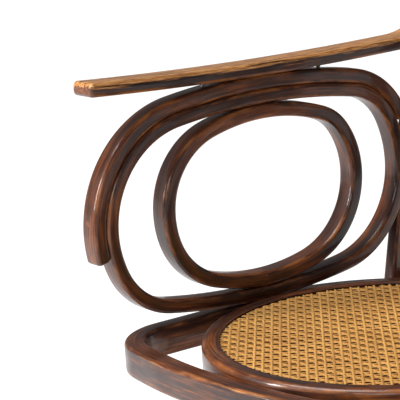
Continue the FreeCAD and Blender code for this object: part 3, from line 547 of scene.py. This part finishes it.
def hoop_path(side_reach=232.5, front_reach=222.4, front_radius=700.0, front_corner=68.0,
              back_reach=222.6, back_radius=240.0, back_corner=205.0):
    """Middle line of the hoop, from the middle of its back."""
    reach = side_reach * math.cos(SPLAY)
    front = np.array([0.0, front_radius - front_reach])
    back = np.array([0.0, back_reach - back_radius])
    front_right = hoop_corner(front, front_radius, front_corner, -1, reach)
    back_right = hoop_corner(back, back_radius, back_corner, 1, reach)
    front_turn = angle_to(front, front_right)
    back_turn = angle_to(back, back_right)
    outward = np.array([math.cos(SPLAY), math.sin(SPLAY)])
    side = Line(front_right + outward * front_corner, back_right + outward * back_corner)
    return [
        Arc(back, back_radius, math.pi / 2, math.pi - back_turn),
        Arc(mirrored(back_right), back_corner, math.pi - back_turn, math.pi - SPLAY),
        Line(mirrored(side.end), mirrored(side.start)),
        Arc(mirrored(front_right), front_corner, math.pi - SPLAY, math.pi - front_turn),
        Arc(front, front_radius, -math.pi - front_turn, front_turn),
        Arc(front_right, front_corner, front_turn, SPLAY),
        side,
        Arc(back_right, back_corner, SPLAY, back_turn),
        Arc(back, back_radius, back_turn, math.pi / 2),
    ]


def hoop_wear_and_highlight(spots, rows):
    """The front rail's outer face near its top is made paler: partly wear from legs and hands, partly a painted
    highlight along its lit upper edge.
    """
    front = np.clip((-spots[:, 1] - 150) / 70, 0, 1)
    upper = np.clip((spots[:, 2] - HOOP_TOP + 22) / 16, 0, 1)
    outer = np.clip((rows[:, 0] - 2) / 8, 0, 1)
    return 0.55 * front * upper * outer


def make_hoop():
    path = [Arc(p.centre, p.radius, p.start, p.end) if isinstance(p, Arc) else p for p in hoop_path()]
    bar("seat_hoop", path, seat_plane, -12, 12, HOOP_BOTTOM, HOOP_TOP, wear_and_highlight=hoop_wear_and_highlight)


def frame_section(radius):
    """Section of the round frame: rows of across, deep and edge, from the circle of a radius."""
    low, high = (value[2] * 1000 - SEAT[2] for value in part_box("seat_frame"))
    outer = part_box("seat_frame")[1][0] * 1000
    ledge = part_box("cane_reed")[1][0] * 1000
    corners = (
        (outer, low, 2.0, 1),
        (outer, high, 6.0, 1),
        (ledge, high, 1.2, 1),
        (ledge, -2.5, 0.0, 0),
        (168.0, -2.5, 0.0, 0),
        (168.0, low, 2.0, 1),
    )
    starts = (-math.pi / 2, 0.0, math.pi / 2, 0.0, 0.0, math.pi)
    rows = []
    for (across, deep, round_off, _), start in zip(corners, starts):
        if not round_off:
            rows.append((across - radius, deep, 0.0))
            continue
        sign_a = 1 if across in (outer,) else -1
        sign_d = 1 if deep == high else -1
        if across == ledge:
            sign_a = -1
        middle_a = across - sign_a * round_off
        middle_d = deep - sign_d * round_off
        for step in range(6):
            share = step / 5
            angle = start + share * math.pi / 2
            edge = math.sin(share * math.pi)
            rows.append((middle_a + round_off * math.cos(angle) - radius,
                         middle_d + round_off * math.sin(angle), edge))
    return np.array(rows)


def frame_wear(spots, rows):
    front = np.clip((-spots[:, 1] - 140) / 90, 0, 1)
    upper = np.clip((spots[:, 2] + 12) / 10, 0, 1)
    return 0.30 * front * upper


def make_frame():
    radius = 200.0
    circle = [Arc((0, 0), radius, math.pi / 2, 2.5 * math.pi)]
    bar("seat_frame", circle, seat_plane, 0, 0, 0, 0, section=frame_section(radius), wear_and_highlight=frame_wear)


def strand(points, width, thick, number, kind):
    """A split cane along points: a flat back and a domed top. Returns vertices, faces, grain."""
    points = np.array(points)
    run = np.gradient(points, axis=0)
    run /= np.linalg.norm(run, axis=1)[:, None]
    side = np.cross(run, np.array([0.0, 0.0, 1.0]))
    side /= np.linalg.norm(side, axis=1)[:, None]
    up = np.cross(side, run)
    section = ((-0.5, -0.5), (-0.5, 0.1), (-0.25, 0.45), (0.25, 0.45), (0.5, 0.1), (0.5, -0.5))
    distance = np.concatenate([[0], np.cumsum(np.linalg.norm(np.diff(points, axis=0), axis=1))])
    vertices = []
    grain = []
    for index in range(len(points)):
        for across, high in section:
            vertices.append(points[index] + side[index] * across * width + up[index] * high * thick)
            grain.append((distance[index] / 1000 + kind * 5, across * width / 1000, number * 0.37 + kind))
    faces = []
    width_count = len(section)
    for index in range(len(points) - 1):
        for row in range(width_count):
            beside = (row + 1) % width_count
            faces.append((index * width_count + row, index * width_count + beside,
                          (index + 1) * width_count + beside, (index + 1) * width_count + row))
    faces.append(tuple(reversed(range(width_count))))
    end = (len(points) - 1) * width_count
    faces.append(tuple(end + row for row in range(width_count)))
    return vertices, faces, grain


def make_weave():
    """Six-way cane: pairs of strands both ways, and a diagonal each way through the holes."""
    pitch = 13.0
    gap = 3.1
    reach = cane_high[0] * 1000 - 0.6
    vertices = []
    faces = []
    grain = []
    random = np.random.default_rng(7)

    def add(points, width, thick, number, kind):
        more = strand(points, width, thick, number, kind)
        start = len(vertices)
        vertices.extend(more[0])
        faces.extend(tuple(start + corner for corner in face) for face in more[1])
        grain.extend(more[2])

    def chord(angle, offset, width, thick, level, swing, phase, number, kind):
        """A strand at an angle and an offset from the middle, from rim to rim."""
        half = math.sqrt(max(reach ** 2 - (abs(offset) + width) ** 2, 0))
        if half < 6:
            return
        run = np.array([math.cos(angle), math.sin(angle)])
        side = np.array([-math.sin(angle), math.cos(angle)])
        wobble = random.uniform(-0.22, 0.22)
        period = pitch * (math.sqrt(2) if kind >= 2 else 1)
        steps = max(3, int(2 * half / (period / 6)))
        points = []
        for t in np.linspace(-half, half, steps):
            flat = run * t + side * (offset + wobble + 0.12 * math.sin(t / 37 + number))
            wave = math.cos(2 * math.pi * t / period + phase)
            points.append((flat[0], flat[1], level + swing * wave))
        add(points, width, thick, number, kind)

    rows = int(reach / pitch) + 1
    for number in range(-rows, rows + 1):
        for pair in (-0.5, 0.5):
            offset = number * pitch + pair * gap
            chord(math.pi / 2, offset, 2.15, 0.5, -1.60, 0.22, math.pi * (pair > 0), number * 2 + pair, 0)
            chord(0.0, offset, 2.15, 0.5, -1.10, 0.22, math.pi * (pair > 0), number * 2 + pair, 1)
    diagonals = int(reach / (pitch / math.sqrt(2))) + 1
    for number in range(-diagonals, diagonals + 1):
        offset = (number + 0.5) * pitch / math.sqrt(2)
        phase = math.pi * (number % 2)
        chord(math.pi / 4, offset, 2.2, 0.45, -0.72, 0.25, phase, number, 2)
        chord(-math.pi / 4, offset, 2.2, 0.45, -0.62, 0.25, phase + math.pi, number, 3)
    spots = np.array(vertices) + SEAT
    mesh = bpy.data.meshes.new("look_cane_panel")
    mesh.from_pydata((spots / 1000).tolist(), [], faces)
    made = mesh.attributes.new("grain", "FLOAT_VECTOR", "POINT")
    made.data.foreach_set("vector", np.array(grain, np.float32).ravel())
    mesh.update()
    thing = bpy.data.objects.new("look_cane_panel", mesh)
    bpy.context.scene.collection.objects.link(thing)
    thing.data.materials.append(materials["cane"])
    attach(thing, "root")
    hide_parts("cane_panel")


def make_painted_shade_disc():
    """A dark disc just under the weave: painted shade, standing in for the shade that the deep frame and the shaded
    strands below give.
    """
    radius = cane_high[0] * 1000 - 0.5
    turns = np.linspace(0, 2 * math.pi, 97)[:-1]
    vertices = [(radius * math.cos(turn), radius * math.sin(turn), -2.42) for turn in turns]
    mesh = bpy.data.meshes.new("look_cane_painted_shade")
    mesh.from_pydata(((np.array(vertices) + SEAT) / 1000).tolist(), [], [tuple(range(96))])
    thing = bpy.data.objects.new("look_cane_painted_shade", mesh)
    bpy.context.scene.collection.objects.link(thing)
    # The dark wood colour on this disc is painted shade under the cane.
    thing.data.materials.append(materials["block_wood"])
    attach(thing, "root")


def make_reed():
    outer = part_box("cane_reed")[1][0] * 1000
    circle = [Arc((0, 0), outer - 1.6, math.pi / 2, 2.5 * math.pi)]
    section = rounded_section(-1.6, 1.6, -0.6, 1.0, 0.75, 4)
    bar("cane_reed", circle, seat_plane, 0, 0, 0, 0, section=section, slot="reed")


# ------------------------------------------------------------------------------------- arms


LARGE_ALONG = 26.0
LARGE_HALF_HEIGHT = 107.0
LARGE_UP = LARGE_HALF_HEIGHT + LARGE_THICK + HOOP_TOP
LARGE = (204.5, LARGE_HALF_HEIGHT, 785.0, 131.0, (70.0, 106.0, 74.0, 100.0))
SMALL_ALONG = 30.0
APART = 785.0 - 252.0 - THICK
SMALL_HALF_HEIGHT = LARGE_HALF_HEIGHT - THICK - APART + math.sqrt(APART ** 2 - 16)
SMALL = (130.0, SMALL_HALF_HEIGHT, 252.0, 95.0, (50.0, 82.0, 76.0, 88.0))


def from_bottom(path):
    """The oval's path, started in the middle of its lowest arc, where the seam is hidden."""
    lowest = path[6]
    middle = (lowest.start + lowest.end) / 2
    first = Arc(lowest.centre, lowest.radius, middle, lowest.end)
    last = Arc(lowest.centre, lowest.radius, lowest.start, middle)
    return [first, path[7], *path[:6], last]


def band_path():
    whole = [piece.grown(LARGE_THICK) for piece in oval(*LARGE)]
    back_end, back_top, top, front_top, front_end, front_bottom = whole[:6]
    first_height = 172.0 - LARGE_UP
    last_height = 84.0 - LARGE_UP
    path = [top]
    for arc in (back_top, back_end):
        start = angle_at_height(arc, first_height)
        if start is not None:
            path.insert(0, Arc(arc.centre, arc.radius, start, arc.end))
            break
        path.insert(0, arc)
    for arc in (front_top, front_end, front_bottom):
        finish = angle_at_height(arc, last_height)
        if finish is not None:
            path.append(Arc(arc.centre, arc.radius, arc.start, finish))
            break
        path.append(arc)
    return path


def rest_path():
    """Underside of the arm rest: a long shallow arc, then a bend up against the back."""
    radius = 5200.0
    turn_radius = 110.0
    bottom = LARGE_UP + LARGE_HALF_HEIGHT + LARGE_THICK + BAND_THICK - 1.2
    centre = np.array([125.0, bottom + radius])
    start = -math.pi / 2 - math.asin((125.0 + 206.0) / radius)
    turn = -math.pi / 2 + math.asin((245.0 - 125.0) / radius)
    turn_centre = centre + (radius - turn_radius) * np.array([math.cos(turn), math.sin(turn)])
    return [
        Arc(centre, radius, start, turn),
        Arc(turn_centre, turn_radius, turn, turn + math.radians(33)),
    ]


def rest_wear_and_highlight(spots, rows):
    """The top of the arm rest is made paler: partly wear from hands, partly a painted highlight where light falls
    on the top.
    """
    top = np.clip((-rows[:, 0] - 6) / 6, 0, 1)
    return 1.15 * top


def make_arm(side):
    place = side_plane(side)
    name = SIDE_NAMES[side]
    overhang = (REST_WIDE - DEEP) / 2
    large = shifted(from_bottom(oval(*LARGE)), LARGE_ALONG, LARGE_UP)
    small = shifted(from_bottom(oval(*SMALL)), SMALL_ALONG, LARGE_UP)
    bar(f"arm_large_oval_{name}", large, place, 0, LARGE_THICK, 0, DEEP)
    bar(f"arm_small_oval_{name}", small, place, 0, THICK, 0, DEEP)
    bar(f"arm_band_{name}", shifted(band_path(), LARGE_ALONG, LARGE_UP), place, 0, BAND_THICK, 0, DEEP,
        closed=False)
    bar(f"arm_rest_{name}", rest_path(), place, -REST_THICK, 0, -overhang, DEEP + overhang, closed=False,
        wear_and_highlight=rest_wear_and_highlight)


# ------------------------------------------------------------------------------------- back


BOW_HALF = 193.5
BOW_TOP = 520.0
BACK_OVAL_UP = BOW_TOP - THICK - 205.0


def bow_path():
    top_radius = 430.0
    corner = 135.0
    foot = -48.0
    top = np.array([0.0, BOW_TOP - top_radius])
    reach = BOW_HALF - corner
    right = top + np.array([reach, math.sqrt((top_radius - corner) ** 2 - reach ** 2)])
    turn = angle_to(top, right)
    return [
        Line((BOW_HALF, foot), (BOW_HALF, right[1])),
        Arc(right, corner, 0, turn),
        Arc(top, top_radius, turn, math.pi - turn),
        Arc(mirrored(right), corner, math.pi - turn, math.pi),
        Line((-BOW_HALF, right[1]), (-BOW_HALF, foot)),
    ]


def make_back():
    half_width = BOW_HALF - THICK
    large = oval(half_width, 205.0, 230.0, 620.0, [140.0] * 4)
    small = oval(104.0, 205.0 - THICK, 120.0, 420.0, [70.0] * 4)
    bar("back_bow", bow_path(), back_plane, 0, THICK, -DEEP, 0, closed=False, spacing=5.0)
    bar("back_large_oval", shifted(from_bottom(large), 0, BACK_OVAL_UP), back_plane, 0, THICK, -DEEP, 0)
    bar("back_small_oval", shifted(from_bottom(small), 0, BACK_OVAL_UP), back_plane, 0, THICK, -DEEP, 0)


# ------------------------------------------------------------------------------------- base


RUNNER_ALONG = (-SEAT[1] - DEEP / 2 * math.sin(SPLAY)) / math.cos(SPLAY)
RUNNER_CENTRE = np.array([RUNNER_ALONG, RUNNER_RADIUS - SEAT[2]])
LEG_RADIUS = 900.0
LEG_LEAN = math.radians(13)


def leg_path(top_along, forward):
    sense = -1 if forward else 1
    centre = np.array([
        top_along + sense * LEG_RADIUS * math.cos(LEG_LEAN),
        HOOP_BOTTOM + LEG_RADIUS * math.sin(LEG_LEAN),
    ])
    inside = RUNNER_RADIUS - RUNNER_THICK + 4
    foot = circle_touching(centre, LEG_RADIUS, RUNNER_CENTRE, inside, np.array([0.0, -1.0]))
    turns = [math.asin((height - centre[1]) / LEG_RADIUS) for height in (HOOP_BOTTOM + 4, foot[1])]
    if not forward:
        turns = [math.pi - turn for turn in turns]
    return [Arc(centre, LEG_RADIUS, *turns)]


def make_base():
    reach = math.asin(440.0 / RUNNER_RADIUS)
    middle = RUNNER_RADIUS - RUNNER_THICK / 2
    for side in (LEFT, RIGHT):
        place = side_plane(side)
        name = SIDE_NAMES[side]
        start = -math.pi / 2 - reach - 15 / middle
        path = [Arc(RUNNER_CENTRE, middle, start, -math.pi - start)]
        bar(f"runner_{name}", path, place, -15, 15, 0, DEEP, closed=False, end_round=12, spacing=8)
        for node, along, forward in (("front_leg", -40.0, True), ("back_leg", 72.0, False)):
            bar(f"{node}_{name}", leg_path(along, forward), place, -12.5, 12.5, 0, DEEP, closed=False,
                end_round=0.5, spacing=8)


# ------------------------------------------------------------------------ pieces kept as CAD


def keep_cad():
    """Blocks, bars, plugs and fasteners stay as the CAD made them, with a better material."""
    slots = {entry["node"]: entry["material_slot"] for entry in frame["record"]["subparts"]}
    for node, thing in frame["nodes"].items():
        if not thing.hide_render:
            slot = slots[node]
            material = round_bar_material if "stretcher" in node else materials[slot]
            if slot == "bentwood" and "stretcher" not in node:
                material = materials["block_wood"]
            thing.data.materials.clear()
            thing.data.materials.append(material)


def make_round_bar(name):
    """The same polish on a straight bar along X, its grain in the object's own coordinates."""
    return make_bentwood(name, "object", 1.0)


round_bar_material = make_round_bar("bar_polish")

make_hoop()
make_frame()
make_weave()
make_painted_shade_disc()
make_reed()
for each_side in (LEFT, RIGHT):
    make_arm(each_side)
make_back()
make_base()
keep_cad()


# -------------------------------------------------------------------- floor, light and camera


def make_stage():
    bpy.ops.mesh.primitive_plane_add(size=60, location=(0, 0, 0))
    floor = bpy.context.object
    floor.name = "studio_floor"
    floor.data.materials.append(make_floor("studio_floor_paint"))


def add_area(name, place, target, width, height, power, tint=(1, 1, 1)):
    light = bpy.data.lights.new(name, "AREA")
    light.shape = "RECTANGLE"
    light.size = width
    light.size_y = height
    light.energy = power
    light.color = tint
    thing = bpy.data.objects.new(name, light)
    bpy.context.scene.collection.objects.link(thing)
    away = np.array(place, float) - np.array(target, float)
    away /= np.linalg.norm(away)
    right = np.cross([0, 0, 1], away)
    right /= np.linalg.norm(right)
    up = np.cross(away, right)
    thing.matrix_world = Matrix(np.vstack([
        np.column_stack([right, up, away, place]), [0, 0, 0, 1]
    ]).tolist())
    return thing


def add_lights():
    world = bpy.data.worlds.new("studio")
    bpy.context.scene.world = world
    world.use_nodes = True
    background = world.node_tree.nodes["Background"]
    background.inputs["Color"].default_value = (1.0, 1.0, 1.0, 1)
    background.inputs["Strength"].default_value = 0.20
    sun = bpy.data.lights.new("soft_sun", "SUN")
    sun.energy = 3.3
    sun.angle = math.radians(40)
    thing = bpy.data.objects.new("soft_sun", sun)
    thing.rotation_euler = (math.radians(18), math.radians(-14), 0)
    bpy.context.scene.collection.objects.link(thing)
    seat = SEAT / 1000
    add_area("key_softbox", (-1.3, -2.2, 1.35), seat, 0.35, 1.0, 60)
    add_area("front_softbox", (1.5, -2.6, 1.6), seat, 1.2, 0.8, 22)


def add_camera():
    """Seen from the front right, a little above the arms, rolled slightly."""
    turn = math.radians(48.0)
    lift = math.radians(12.56)
    roll = math.radians(-3.79)
    look = np.array([-math.sin(turn) * math.cos(lift), math.cos(turn) * math.cos(lift), -math.sin(lift)])
    right = np.array([math.cos(turn), math.sin(turn), 0.0])
    up = np.cross(right, look)
    rolled_right = math.cos(roll) * right + math.sin(roll) * up
    rolled_up = -math.sin(roll) * right + math.cos(roll) * up
    place = (SEAT + np.array([1397.1, -1528.4, 617.3])) / 1000
    camera = bpy.data.cameras.new("camera")
    camera.sensor_width = 36.0
    camera.lens = 178.53
    camera.clip_end = 200
    thing = bpy.data.objects.new("camera", camera)
    thing.matrix_world = Matrix(np.vstack([
        np.column_stack([rolled_right, rolled_up, -look, place]), [0, 0, 0, 1]
    ]).tolist())
    bpy.context.scene.collection.objects.link(thing)
    bpy.context.scene.camera = thing


make_stage()
add_lights()
add_camera()
bpy.context.scene.view_settings.view_transform = "Standard"
bpy.context.scene.view_settings.look = "None"
